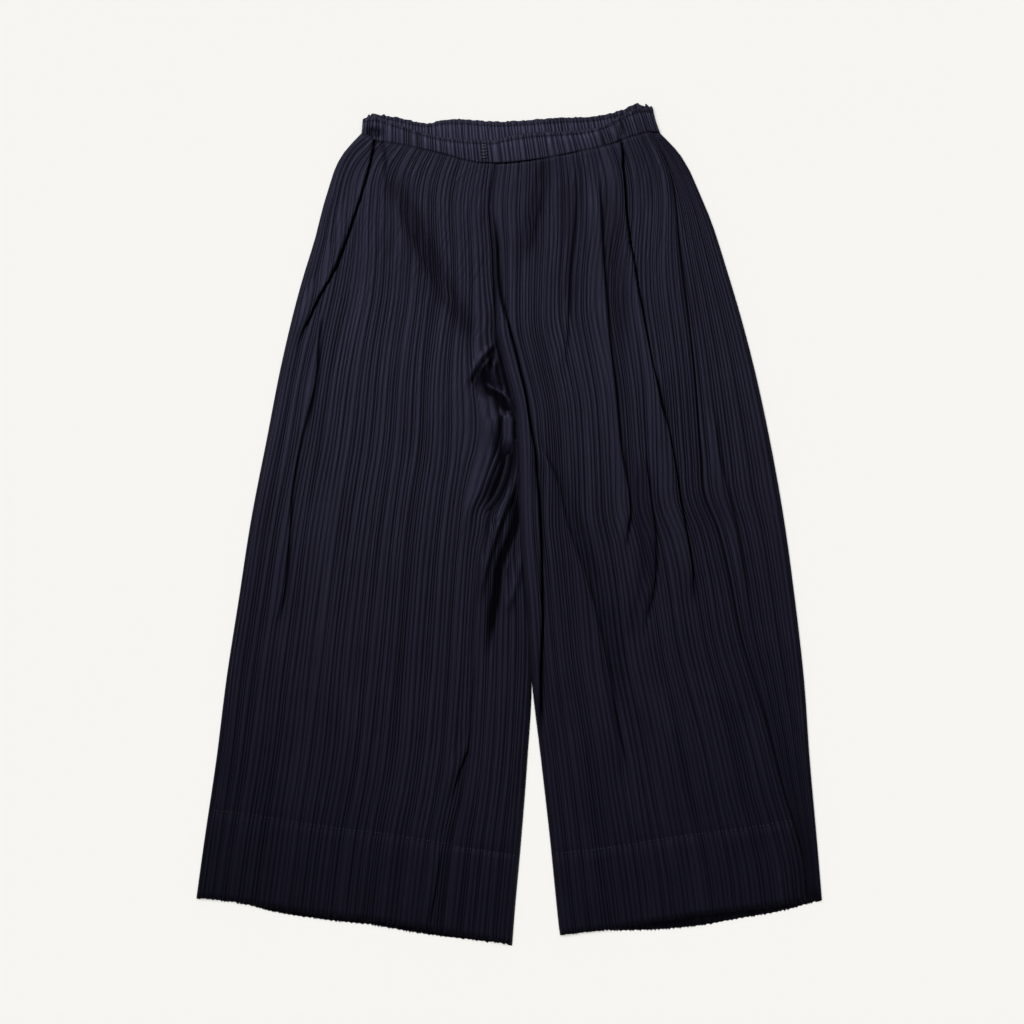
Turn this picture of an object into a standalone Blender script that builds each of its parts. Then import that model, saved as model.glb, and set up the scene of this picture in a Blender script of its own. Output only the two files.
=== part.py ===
# Pleated wide-leg hakama trousers, laid flat with the front side up.
# Sizes below are in millimetres. The model itself is built in metres.
# +X runs to the wearer's left leg, +Y runs to the waist, +Z points up.
# The back panels rest on the surface at height zero.

import math
from collections import namedtuple

import bmesh
import bpy

MM = 0.001

# Driving sizes of the cloth
SEAM_GAP = 0.3
BACK_WALL = 1.4
FRONT_WALL = 1.4
BAND_WALL = 2.6
HEADING_WALL = 1.5
HEM_EXTRA = 0.3
PLEAT_RISE = 0.8
GATHER_RISE = 0.7
LAYER_GAP = 0.5

# Heights of the layers over the surface
FRONT_LEVEL = BACK_WALL + HEM_EXTRA + PLEAT_RISE + LAYER_GAP
FRONT_BAND_LEVEL = BAND_WALL + GATHER_RISE + 0.4
SIDE_SEAM_LEVEL = BACK_WALL + HEM_EXTRA + SEAM_GAP
BAND_SEAM_LEVEL = BAND_WALL + SEAM_GAP
ROLL_RADIUS = (FRONT_LEVEL + FRONT_WALL) / 2.0

# Pleats on each piece, and gathers on each half of the waistband
RIGHT_FRONT_PLEATS = 46
LEFT_FRONT_PLEATS = 34
RIGHT_BACK_PLEATS = 26
LEFT_BACK_PLEATS = 24
SIDE_STRIP_PLEATS = 6
FRONT_BAND_GATHERS = 30
BACK_BAND_GATHERS = 26

# Heights on the centre seam where the leg panels have a cross-section
SECTION_HEIGHTS = (
    378.5, 325.0, 255.0, 185.0, 135.0, 90.0, 20.0, -70.0, -163.0, -250.0,
)
HEM_STITCH_HEIGHT = -345.0
HEM_STEP = 6.0

# Edges that run down the legs, one row per point: height Y, distance X
RIGHT_SIDE = (
    (410.0, -155.0), (393.0, -171.0), (341.0, -193.0), (299.0, -204.0),
    (257.0, -217.0), (173.0, -238.0), (89.0, -254.5), (5.0, -271.0),
    (-79.0, -284.0), (-163.0, -297.0), (-247.0, -307.5), (-331.0, -320.0),
    (-392.0, -328.5),
)
LEFT_SIDE = (
    (410.0, 158.0), (393.0, 174.5), (341.0, 202.0), (257.0, 231.0),
    (173.0, 254.5), (89.0, 273.0), (5.0, 288.0), (-79.0, 299.5),
    (-163.0, 309.0), (-247.0, 315.0), (-331.0, 322.5), (-402.0, 328.5),
)
CENTRE_SEAM = (
    (378.5, -14.5), (332.0, -19.5), (288.0, -16.0), (236.0, -12.5),
    (171.0, -7.5), (115.0, 8.5), (89.0, 9.5), (-16.0, 12.5),
    (-79.0, 18.0), (-163.0, 23.0),
)
RIGHT_INSEAM_BELOW_FORK = (
    (-247.0, 18.5), (-331.0, 12.0), (-415.0, 4.5), (-441.5, 2.5),
)
LEFT_INSEAM_BELOW_FORK = (
    (-247.0, 33.0), (-331.0, 42.5), (-415.0, 51.0), (-433.0, 53.0),
)

# Line where the side strip of the left leg meets the front panel
FRONT_FOLD_LINE = (
    (411.0, 150.0), (377.5, 166.0), (285.0, 180.0), (182.0, 193.0),
    (71.0, 202.0), (29.0, 206.0), (-3.0, 219.0), (-48.0, 230.5),
    (-121.0, 245.0), (-174.0, 261.0), (-225.0, 275.5), (-279.0, 289.0),
    (-313.0, 299.0), (-352.0, 309.0), (-394.0, 314.5),
)

# Edges that run across, one row per point: distance X, height Y
FRONT_WAIST_SEAM = (
    (-155.0, 410.0), (-144.0, 403.0), (-122.0, 399.5), (-94.0, 394.0),
    (-65.0, 387.0), (-46.0, 381.5), (-14.5, 378.5), (17.0, 381.0),
    (44.0, 385.0), (71.0, 390.5), (103.0, 397.5), (130.0, 407.0),
    (150.0, 411.0), (158.0, 410.0),
)
BACK_WAIST_SEAM = (
    (-155.0, 410.0), (-110.0, 402.5), (-60.0, 397.0), (-14.5, 395.0),
    (50.0, 396.5), (110.0, 402.5), (158.0, 410.0),
)
FRONT_BAND_TOP = (
    (-155.0, 424.0), (-141.0, 426.5), (-120.0, 420.0), (-96.0, 411.5),
    (-72.0, 405.5), (-39.0, 403.0), (-13.0, 403.0), (-3.0, 406.0),
    (17.0, 409.5), (53.0, 411.5), (83.0, 413.5), (103.0, 419.5),
    (118.0, 428.0), (137.0, 436.0), (151.0, 434.0), (158.0, 428.0),
)
BACK_BAND_TOP = (
    (-155.0, 427.0), (-141.0, 430.0), (-115.0, 426.0), (-83.0, 421.0),
    (-73.0, 423.5), (-10.0, 422.5), (53.0, 426.5), (95.0, 429.0),
    (116.0, 434.0), (137.0, 441.8), (151.0, 436.0), (158.0, 430.0),
)
RIGHT_FRONT_HEM = (
    (-328.5, -392.0), (-283.0, -396.5), (-245.0, -403.5), (-195.0, -411.0),
    (-144.0, -416.5), (-94.0, -424.5), (-31.0, -435.0), (2.5, -440.5),
)
RIGHT_BACK_HEM = (
    (-328.5, -392.0), (-283.0, -398.5), (-245.0, -407.5), (-195.0, -415.0),
    (-144.0, -421.0), (-94.0, -429.5), (-31.0, -437.5), (2.5, -441.5),
)
LEFT_FRONT_HEM = (
    (53.0, -431.0), (116.0, -424.0), (174.0, -414.5), (231.0, -407.0),
    (278.0, -401.5), (314.5, -394.0),
)
LEFT_BACK_HEM = (
    (53.0, -433.0), (95.0, -434.0), (158.0, -433.0), (200.0, -429.0),
    (242.0, -421.5), (284.0, -414.0), (328.5, -402.0),
)

# Folds, one row each: rise over the layer, width to each side of the
# crest, and the crest line as height Y and distance X
Fold = namedtuple("Fold", "name rise left right crest")

RIGHT_FRONT_FOLDS = (
    Fold("side fold", 4.0, 11.0, 5.0, (
        (402.0, -146.0), (373.0, -154.0), (349.0, -161.0), (319.0, -171.0),
        (289.0, -180.0), (242.0, -203.0), (205.0, -219.0))),
    Fold("outer fold", 2.6, 15.0, 8.0, (
        (240.0, -200.0), (187.0, -204.0), (116.0, -216.0), (35.0, -232.0),
        (-12.0, -235.0), (-110.0, -250.0))),
    Fold("hip drape", 2.4, 32.0, 20.0, (
        (350.0, -140.0), (290.0, -118.0), (255.0, -98.0), (225.0, -76.0),
        (185.0, -54.0))),
    Fold("centre ridge", 2.6, 14.0, 7.0, (
        (376.0, -24.0), (332.0, -29.0), (288.0, -26.0), (236.0, -22.0),
        (185.0, -22.0))),
    Fold("fork pinch", 5.0, 16.0, 8.0, (
        (215.0, -30.0), (180.0, -32.0), (150.0, -26.0), (120.0, -12.0),
        (85.0, -3.0), (50.0, -10.0))),
    Fold("inner thigh fold", 2.6, 9.0, 13.0, (
        (60.0, -20.0), (-16.0, -3.0), (-108.0, -12.0), (-166.0, -23.0),
        (-225.0, -31.0))),
    Fold("hem fold", 1.8, 16.0, 4.0, (
        (-300.0, -64.0), (-342.0, -70.0), (-389.0, -76.0), (-436.0, -84.0))),
)
LEFT_FRONT_FOLDS = (
    Fold("deep hip fold", 4.4, 20.0, 6.0, (
        (398.0, 112.0), (313.0, 117.0), (259.0, 127.0), (195.0, 138.0),
        (137.0, 151.0), (71.0, 165.0), (16.0, 174.0), (-36.0, 184.0),
        (-80.0, 190.0))),
    Fold("edge fold", 2.8, 16.0, 8.0, (
        (395.0, 150.0), (340.0, 166.0), (285.0, 173.0), (182.0, 185.0),
        (71.0, 194.0), (29.0, 198.0), (-3.0, 210.0), (-48.0, 222.0),
        (-121.0, 236.0), (-174.0, 252.0), (-225.0, 266.0), (-330.0, 292.0))),
    Fold("front fold", 3.0, 14.0, 7.0, (
        (355.0, 91.0), (266.0, 95.0), (206.0, 99.0), (146.0, 106.0),
        (83.0, 113.0), (12.0, 121.0), (-35.0, 118.0))),
    Fold("waist fold", 2.0, 12.0, 8.0, (
        (372.0, 66.0), (338.0, 66.0), (266.0, 61.0), (175.0, 56.0))),
    Fold("short waist fold", 1.6, 9.0, 7.0, (
        (370.0, 32.0), (332.0, 28.0), (278.0, 15.0))),
    Fold("inseam roll", 4.4, 10.0, 10.0, (
        (215.0, -3.0), (162.0, 3.0), (120.0, 15.0), (78.0, 19.0),
        (5.0, 22.0), (-79.0, 26.0), (-170.0, 32.0))),
    Fold("knee curl", 3.0, 12.0, 7.0, (
        (80.0, 136.0), (24.0, 144.0), (-17.0, 148.0), (-55.0, 148.0),
        (-95.0, 139.0), (-125.0, 131.0))),
    Fold("long thigh drape", 2.6, 22.0, 11.0, (
        (95.0, 26.0), (48.0, 43.0), (7.0, 55.0), (-31.0, 67.0),
        (-67.0, 80.0), (-143.0, 99.0), (-233.0, 112.0), (-275.0, 124.0))),
)
SIDE_STRIP_FOLDS = (
    Fold("strip fold", 1.8, 9.0, 7.0, (
        (135.0, 210.0), (65.0, 218.0), (3.0, 231.0), (-46.0, 241.0),
        (-90.0, 249.0))),
)


def smooth_step(value):
    """Ease a value from 0 to 1, flat at both ends."""
    value = min(1.0, max(0.0, value))
    return value * value * (3.0 - 2.0 * value)


def read_line(table, position):
    """Read a smooth line through a table of (position, value) rows."""
    rows = sorted(table)
    position = min(rows[-1][0], max(rows[0][0], position))
    index = 0
    while index < len(rows) - 2 and position > rows[index + 1][0]:
        index += 1
    slopes = []
    for corner in (index, index + 1):
        before = rows[max(0, corner - 1)]
        after = rows[min(len(rows) - 1, corner + 1)]
        slopes.append((after[1] - before[1]) / (after[0] - before[0]))
    start = rows[index]
    end = rows[index + 1]
    span = end[0] - start[0]
    t = (position - start[0]) / span
    return (
        start[1] * (2 * t**3 - 3 * t**2 + 1)
        + slopes[0] * span * (t**3 - 2 * t**2 + t)
        + end[1] * (3 * t**2 - 2 * t**3)
        + slopes[1] * span * (t**3 - t**2)
    )


def mix(start, end, amount):
    """Blend two numbers."""
    return start + (end - start) * amount


def fold_rise(folds, x, y):
    """Height that the folds add at one point of a panel."""
    rise = 0.0
    for fold in folds:
        top = fold.crest[0][0]
        bottom = fold.crest[-1][0]
        if not bottom < y < top:
            continue
        taper = min(40.0, (top - bottom) * 0.4)
        fade = smooth_step((top - y) / taper) * smooth_step((y - bottom) / taper)
        offset = x - read_line(fold.crest, y)
        width = fold.left if offset < 0.0 else fold.right
        rise = max(rise, fold.rise * fade * smooth_step(1.0 - abs(offset) / width))
    return rise


def patch_point(first_side, second_side, top, hem, across, down):
    """Point inside four edges, the two sides and the two lines across."""
    first = (first_side[0][0], first_side[-1][0])
    second = (second_side[0][0], second_side[-1][0])
    first_y = mix(first[0], first[1], down)
    second_y = mix(second[0], second[1], down)
    first_x = read_line(first_side, first_y)
    second_x = read_line(second_side, second_y)
    top_x = mix(first_side[0][1], second_side[0][1], across)
    hem_x = mix(first_side[-1][1], second_side[-1][1], across)
    top_bow = read_line(top, top_x) - mix(first[0], second[0], across)
    hem_bow = read_line(hem, hem_x) - mix(first[1], second[1], across)
    x = mix(first_x, second_x, across)
    y = mix(first_y, second_y, across) + mix(top_bow, hem_bow, down)
    return x, y


def section_fractions(rise, hem_height):
    """Sections as fractions of the way down, with a pair at the hem stitch."""
    heights = [rise] + list(SECTION_HEIGHTS[1:])
    heights += [HEM_STITCH_HEIGHT, HEM_STITCH_HEIGHT - HEM_STEP, hem_height]
    return [(rise - height) / (rise - hem_height) for height in heights]


def pleat_columns(pleats, margin):
    """Places across a panel: a plain margin, then valley and ridge in turn."""
    places = [(0.0, 0.0)]
    for index in range(2 * pleats + 1):
        fraction = margin + (1.0 - 2.0 * margin) * index / (2 * pleats)
        places.append((fraction, 0.85 + 0.15 * math.sin(2.4 * index) if index % 2 else 0.0))
    places.append((1.0, 0.0))
    return places


def build_slab(name, columns, rows, place, flat_columns=0):
    """Make a closed cloth slab and move each of its points into place.

    The slab is one grid thickened by an extrusion. Its layer 0 is the face
    that lies down and its layer 1 is the face that the pleats show on.
    """
    bm = bmesh.new()
    bmesh.ops.create_grid(
        bm,
        x_segments=len(columns) - 1,
        y_segments=len(rows) - 1,
        size=0.5,
    )
    under = list(bm.faces)
    extruded = bmesh.ops.extrude_face_region(bm, geom=under)
    upper = [item for item in extruded["geom"] if isinstance(item, bmesh.types.BMVert)]
    bmesh.ops.translate(bm, verts=upper, vec=(0.0, 0.0, 1.0))
    flat_limit = flat_columns / (len(columns) - 1) - 0.5
    flat_faces = [face for face in under if face.calc_center_median().x < flat_limit]
    for vert in bm.verts:
        column = round((vert.co.x + 0.5) * (len(columns) - 1))
        row = round((0.5 - vert.co.y) * (len(rows) - 1))
        x, y, z = place(columns[column], rows[row], vert.co.z)
        vert.co = (x * MM, y * MM, z * MM)
    if flat_faces:
        bmesh.ops.dissolve_faces(bm, faces=flat_faces, use_verts=False)
    bmesh.ops.recalc_face_normals(bm, faces=bm.faces[:])
    if bm.calc_volume(signed=True) < 0.0:
        bmesh.ops.reverse_faces(bm, faces=bm.faces[:])
    mesh = bpy.data.meshes.new(name)
    bm.to_mesh(mesh)
    bm.free()
    mesh.shade_smooth()
    mesh.set_sharp_from_angle(angle=math.radians(50.0))
    return bpy.data.objects.new(name, mesh)


def front_panel(name, side, inseam, hem, pleats, folds, side_drops):
    """Front of one leg, lying on the back panel."""
    top = tuple((x, y - SEAM_GAP) for x, y in FRONT_WAIST_SEAM)
    side = ((side[0][0] - SEAM_GAP, side[0][1]),) + side[1:]
    inseam = ((inseam[0][0] - SEAM_GAP, inseam[0][1]),) + inseam[1:]
    rows = section_fractions(inseam[0][0], inseam[-1][0])
    stitch_row = rows[len(SECTION_HEIGHTS)]
    columns = pleat_columns(pleats, 0.02)

    def place(column, down, layer):
        across, ridge = column
        x, y = patch_point(side, inseam, top, hem, across, down)
        seam_lift = 1.1 * (1.0 - smooth_step(down / 0.06))
        swell = 0.5 + 0.5 * math.sin(x / 21.0 + y / 90.0)
        edge = min(1.0, across / 0.02) if side_drops else 1.0
        drop = smooth_step((150.0 - y) / 60.0) * (1.0 if across == 1.0 else 0.0)
        lift = seam_lift + swell * 0.6 + fold_rise(folds, x, y)
        low = FRONT_LEVEL + lift + ridge * PLEAT_RISE
        low = mix(SIDE_SEAM_LEVEL, low, edge * (1.0 - drop))
        wall = FRONT_WALL + (HEM_EXTRA if down > stitch_row + 0.001 else 0.0)
        return x, y, low + layer * wall

    return build_slab(name, columns, rows, place)


def back_panel(name, side, inseam, hem, pleats):
    """Back of one leg, flat on the surface, with pleats on its inner face."""
    top = tuple((x, y - SEAM_GAP) for x, y in BACK_WAIST_SEAM)
    side = ((side[0][0] - SEAM_GAP, side[0][1]),) + side[1:]
    rise = BACK_WAIST_SEAM[3][1] - SEAM_GAP
    inseam = ((rise, inseam[0][1]),) + inseam[1:]
    rows = section_fractions(rise, inseam[-1][0])
    rows.remove(rows[-2])
    columns = pleat_columns(pleats, 0.04)

    def place(column, down, layer):
        across, ridge = column
        x, y = patch_point(side, inseam, top, hem, across, down)
        wall = BACK_WALL + ridge * PLEAT_RISE
        return x, y, layer * wall

    return build_slab(name, columns, rows, place, flat_columns=len(columns) - 1)


def wrapped_back_panel(name, side, inseam, hem, pleats, strip_pleats):
    """Back of the left leg: flat underneath, then rolled over to the front.

    Its columns run from the inseam under the leg to the outer side, round
    the roll and back over the top to the fold line of the front panel.
    """
    rise = BACK_WAIST_SEAM[3][1] - SEAM_GAP
    top = tuple((x, y - SEAM_GAP) for x, y in BACK_WAIST_SEAM)
    strip_top = tuple((x, y - SEAM_GAP) for x, y in FRONT_WAIST_SEAM)
    inseam = ((rise, inseam[0][1]),) + inseam[1:]
    outer = tuple((y, x - ROLL_RADIUS) for y, x in side)
    outer = ((outer[0][0] - SEAM_GAP, outer[0][1]),) + outer[1:]
    fold_line = tuple((y, x + SEAM_GAP) for y, x in FRONT_FOLD_LINE)
    fold_line = ((fold_line[0][0] - SEAM_GAP, fold_line[0][1]),) + fold_line[1:]
    strip_hem = tuple((line[-1][1], line[-1][0]) for line in (fold_line, outer))
    hem_height = inseam[-1][0]
    rows = list(zip(
        section_fractions(rise, hem_height),
        section_fractions(CENTRE_SEAM[0][0] - SEAM_GAP, hem_height)))
    under = [("under",) + place for place in pleat_columns(pleats, 0.04)]
    roll = [("roll", step / 4.0, 0.0) for step in (1, 2, 3)]
    strip = [("strip",) + place for place in pleat_columns(strip_pleats, 0.08)]
    columns = under + roll + strip
    inner_radius = ROLL_RADIUS - BACK_WALL

    def place(column, row, layer):
        zone, across, ridge = column
        down, strip_down = row
        if zone == "under":
            x, y = patch_point(inseam, outer, top, hem, across, down)
            return x, y, layer * (BACK_WALL + ridge * PLEAT_RISE)
        if zone == "roll":
            level = mix(down, strip_down, across)
            x, y = patch_point(inseam, outer, top, hem, 1.0, level)
            radius = mix(ROLL_RADIUS, inner_radius, layer)
            angle = math.pi * across
            x += radius * math.sin(angle)
            return x, y, ROLL_RADIUS - radius * math.cos(angle)
        x, y = patch_point(outer, fold_line, strip_top, strip_hem, across, strip_down)
        lift = fold_rise(SIDE_STRIP_FOLDS, x, y) + ridge * PLEAT_RISE
        return x, y, FRONT_LEVEL + FRONT_WALL * (1.0 - layer) + lift

    return build_slab(name, columns, rows, place, flat_columns=len(under) - 1)


def band(name, top, seam, gathers, level, seam_level, heading_wave):
    """Half of the elastic waistband: gathered casing with a ruffled heading."""
    first = seam[0][0]
    last = seam[-1][0]
    columns = pleat_columns(gathers, 0.02)
    rows = (0.0, 0.17, 0.27, 0.62, 1.0)
    walls = (HEADING_WALL, HEADING_WALL, BAND_WALL, BAND_WALL, BAND_WALL - 0.6)

    def place(column, down, layer):
        across, ridge = column
        x = mix(first, last, across)
        y = mix(read_line(top, x), read_line(seam, x), down)
        row = rows.index(down)
        if row == 0:
            y -= heading_wave * ridge
        end = min(1.0, across / 0.02, (1.0 - across) / 0.02)
        low = mix(seam_level, level, end)
        gather = GATHER_RISE * ridge * (0.6 if row == 4 else 1.0)
        return x, y, low + layer * (walls[row] + gather)

    flat = len(columns) - 1 if level == 0.0 else 0
    return build_slab(name, columns, rows, place, flat_columns=flat)


def shifted(line, amount):
    """Move a line that runs down the legs sideways."""
    return tuple((y, x + amount) for y, x in line)


def cloth_material(name, colour, roughness):
    """Plain dyed cloth, its colour taken as linear values."""
    material = bpy.data.materials.new(name)
    material.use_nodes = True
    shader = material.node_tree.nodes["Principled BSDF"]
    shader.inputs["Base Color"].default_value = colour + (1.0,)
    shader.inputs["Roughness"].default_value = roughness
    shader.inputs["Metallic"].default_value = 0.0
    return material


def main():
    """Clear the scene and build every piece of the trousers."""
    for old in list(bpy.data.objects):
        bpy.data.objects.remove(old, do_unlink=True)
    trousers = bpy.data.collections.new("hakama_trousers")
    bpy.context.scene.collection.children.link(trousers)

    right_inseam = shifted(CENTRE_SEAM, -SEAM_GAP / 2) + RIGHT_INSEAM_BELOW_FORK
    left_inseam = shifted(CENTRE_SEAM, SEAM_GAP / 2) + LEFT_INSEAM_BELOW_FORK
    pieces = (
        (back_panel(
            "right_back", RIGHT_SIDE, right_inseam, RIGHT_BACK_HEM,
            RIGHT_BACK_PLEATS), (0.010, 0.009, 0.017)),
        (wrapped_back_panel(
            "left_back", LEFT_SIDE, left_inseam, LEFT_BACK_HEM,
            LEFT_BACK_PLEATS, SIDE_STRIP_PLEATS), (0.010, 0.010, 0.018)),
        (front_panel(
            "right_front", RIGHT_SIDE, right_inseam, RIGHT_FRONT_HEM,
            RIGHT_FRONT_PLEATS, RIGHT_FRONT_FOLDS, True), (0.011, 0.010, 0.020)),
        (front_panel(
            "left_front", FRONT_FOLD_LINE, left_inseam, LEFT_FRONT_HEM,
            LEFT_FRONT_PLEATS, LEFT_FRONT_FOLDS, False), (0.012, 0.011, 0.021)),
        (band(
            "waistband_back", BACK_BAND_TOP, BACK_WAIST_SEAM,
            BACK_BAND_GATHERS, 0.0, 0.0, 1.0), (0.011, 0.010, 0.019)),
        (band(
            "waistband_front", FRONT_BAND_TOP, FRONT_WAIST_SEAM,
            FRONT_BAND_GATHERS, FRONT_BAND_LEVEL, BAND_SEAM_LEVEL, 1.0),
            (0.012, 0.011, 0.021)),
    )
    for piece, colour in pieces:
        piece.data.materials.append(cloth_material(piece.name, colour, 0.78))
        trousers.objects.link(piece)


main()
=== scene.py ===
# %% [markdown]
# # Crystal-pleated hakama trousers, laid flat
# Wide-leg trousers in fine heat-set pleats with an elastic waist, lying
# front side up on a pale surface. Every sheet of cloth below takes the place
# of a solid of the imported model, or of a share of one. All tables are in
# millimetres, and the helpers turn them into metres at the very end. A pixel
# of the photograph is taken as 1.05 mm.

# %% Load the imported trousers
import math

import bmesh
import bpy
import numpy as np
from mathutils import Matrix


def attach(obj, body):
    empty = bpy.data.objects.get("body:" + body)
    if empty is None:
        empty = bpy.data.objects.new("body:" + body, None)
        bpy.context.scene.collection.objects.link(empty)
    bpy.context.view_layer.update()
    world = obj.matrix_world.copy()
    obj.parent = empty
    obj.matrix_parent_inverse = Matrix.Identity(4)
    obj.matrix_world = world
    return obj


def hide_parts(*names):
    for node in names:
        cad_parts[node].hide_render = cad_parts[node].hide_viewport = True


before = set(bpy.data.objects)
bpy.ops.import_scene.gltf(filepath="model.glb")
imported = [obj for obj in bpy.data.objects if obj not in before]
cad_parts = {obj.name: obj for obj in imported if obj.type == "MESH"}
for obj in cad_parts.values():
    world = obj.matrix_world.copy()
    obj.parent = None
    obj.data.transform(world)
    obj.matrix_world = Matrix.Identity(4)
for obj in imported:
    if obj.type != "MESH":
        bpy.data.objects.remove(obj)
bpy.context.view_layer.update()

MM = 0.001
PIXEL = 1.05
bpy.context.scene.view_settings.view_transform = "Standard"


def put_in_scene(name, data):
    """New object with this data, in the scene."""
    made = bpy.data.objects.new(name, data)
    bpy.context.scene.collection.objects.link(made)
    return made


# %% [markdown]
# ## Camera
# The garment was photographed from straight above. An orthographic camera
# would show no perspective at all, so this is a long lens, high over the
# centre: nearly flat, as in the photograph. The top of the picture is the waist, so
# the camera needs no turn: a new camera already looks down -Z.

# %% Camera over the garment
FIELD_WIDTH = 1024 * PIXEL
VIEW_CENTRE = (2.6, 12.6)
LENS = 85.0
SENSOR = 36.0
CAMERA_HEIGHT = FIELD_WIDTH * LENS / SENSOR

camera_data = bpy.data.cameras.new("overhead_camera")
camera_data.lens = LENS
camera_data.sensor_width = SENSOR
camera = put_in_scene("overhead_camera", camera_data)
camera.location = [value * MM for value in (*VIEW_CENTRE, CAMERA_HEIGHT)]
bpy.context.scene.camera = camera
print("camera height", round(camera.location.z, 3))

# %% [markdown]
# ## Surface and light
# The surface and the cloth have a light each, as in a studio where the
# background is lit by itself: light linking tells a lamp which objects it may
# reach. The surface gets a wide sun from above, so it is even and nearly free
# of shadows. The cloth gets one near lamp beyond the waist and a little to the
# left, so it is brightest at the waist and falls off towards the hem. A dim
# even sky fills the shadows. One softbox for both would be simpler, but then
# the surface can't be nearly white while the dark pleats keep their relief.

# %% Pale surface
FLOOR_HALF_SIDE = 30.0
FLOOR_LEVEL = -0.0003

floor_mesh = bpy.data.meshes.new("pale_surface")
floor_bm = bmesh.new()
bmesh.ops.create_grid(floor_bm, x_segments=2, y_segments=2, size=FLOOR_HALF_SIDE)
bmesh.ops.translate(floor_bm, verts=floor_bm.verts, vec=(0.0, 0.0, FLOOR_LEVEL))
floor_bm.to_mesh(floor_mesh)
floor_bm.free()
floor = put_in_scene("pale_surface", floor_mesh)
print("surface", 2 * FLOOR_HALF_SIDE, "m wide")

# %% Soft studio light
SURFACE_LIGHT = 2.97
CLOTH_LIGHT = 100.0
CLOTH_LIGHT_PLACE = (-0.62, 1.0, 1.2)
CLOTH_LIGHT_AIM = (0.05, 0.1, 0.0)
SKY_STRENGTH = 0.105


def add_lamp(name, kind, energy, receivers):
    """A lamp that lights only the objects of one collection."""
    lamp = bpy.data.lights.new(name, kind)
    lamp.energy = energy
    lamp_object = put_in_scene(name, lamp)
    lamp_object.light_linking.receiver_collection = receivers
    return lamp_object


surface_group = bpy.data.collections.new("lit_surface")
surface_group.objects.link(floor)
cloth_group = bpy.data.collections.new("lit_cloth")

surface_lamp = add_lamp("surface_light", "SUN", SURFACE_LIGHT, surface_group)
surface_lamp.data.angle = math.radians(60.0)
surface_lamp.rotation_euler = (math.radians(12.0), 0.0, math.radians(205.0))

cloth_lamp = add_lamp("waist_side_light", "SPOT", CLOTH_LIGHT, cloth_group)
cloth_lamp.data.shadow_soft_size = 0.12
cloth_lamp.data.spot_size = math.radians(54.0)
cloth_lamp.data.spot_blend = 1.0
cloth_lamp.location = CLOTH_LIGHT_PLACE
beam = [aim - place for aim, place in zip(CLOTH_LIGHT_AIM, CLOTH_LIGHT_PLACE)]
cloth_lamp.rotation_euler = (
    math.atan2(math.hypot(beam[0], beam[1]), -beam[2]), 0.0,
    math.atan2(beam[1], beam[0]) - math.pi / 2)

sky = bpy.data.worlds.new("even_sky")
sky.use_nodes = True
sky_light = sky.node_tree.nodes["Background"].inputs
sky_light["Color"].default_value = (1.0, 0.995, 0.985, 1.0)
sky_light["Strength"].default_value = SKY_STRENGTH
bpy.context.scene.world = sky
print("surface light", SURFACE_LIGHT, "cloth light", CLOTH_LIGHT, "sky", SKY_STRENGTH)

# %% [markdown]
# ## Shader sums
# A Math node is a sum with wires. It could be added and wired by hand each
# time, but the small class below lets a sum be written as one line of Python:
# `ridge * 0.4 + 0.6` adds the two Math nodes itself.


# %% Sockets that add up
class Wire:
    """Output of a node, for use in Python sums."""

    def __init__(self, socket):
        self.socket = socket

    def combine(self, operation, first, second):
        """Output of one new Math node."""
        return add_node(
            self.socket.id_data, "ShaderNodeMath", {"operation": operation},
            {0: first, 1: second})

    def __add__(self, other):
        return self.combine("ADD", self, other)

    def __sub__(self, other):
        return self.combine("SUBTRACT", self, other)

    def __rsub__(self, other):
        return self.combine("SUBTRACT", other, self)

    def __mul__(self, other):
        return self.combine("MULTIPLY", self, other)


def feed(node, inputs):
    """Connect or fill the sockets of a node."""
    for key, value in inputs.items():
        if isinstance(value, Wire):
            node.id_data.links.new(value.socket, node.inputs[key])
        else:
            node.inputs[key].default_value = value


def add_node(tree, kind, settings, inputs, output=0):
    """Add a node, set it up, feed it and return one of its outputs."""
    node = tree.nodes.new(kind)
    for name, value in settings.items():
        setattr(node, name, value)
    feed(node, inputs)
    return Wire(node.outputs[output])


def new_material(name):
    """New material, with its node tree and its main shader."""
    material = bpy.data.materials.new(name)
    material.use_nodes = True
    return material, material.node_tree, material.node_tree.nodes["Principled BSDF"]


# %% [markdown]
# ## Ink navy polyester
# Heat-set polyester is matt, but each pleat has a faint dull shine on its
# flank. Its colour is painted lighter on the crests and darker down in the
# valleys, as painted light and shade. The cloth carries three things for its
# material: a UV map in metres (across and down the pleats), how high each
# point stands in its pleat, which sets that painted light and shade, and how
# much painted shade it gets in a crease, where the cloth touches itself: there
# a near-black shader is mixed in as painted shade. The pleats are real shape,
# but the weave and the finest streaks are far smaller than a pleat, so they
# are only colour, roughness and bump. A Wave texture repeats once a metre at
# a scale of 0.314, and its scale is divided by the pitch.

# %% Cloth material
# The ridge colour is painted light and the valley colour painted shade, blended by pleat height.
NAVY_RIDGE_LIT = (0.0150, 0.0143, 0.0270, 1.0)
NAVY_VALLEY_SHADED = (0.0022, 0.0018, 0.0046, 1.0)
GLOSS_TINT = (0.62, 0.60, 1.0, 1.0)
# The crease colour is painted shade, for where the cloth touches itself in a crease.
CREASE_SHADE_COLOUR = (0.0010, 0.0009, 0.0016, 1.0)
SHEEN_TINT = (0.55, 0.55, 0.8, 1.0)
WEAVE_PITCH = 0.0005
METRE_WAVE = 0.314
STREAKS = (620.0, 14.0, 1.0)


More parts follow.
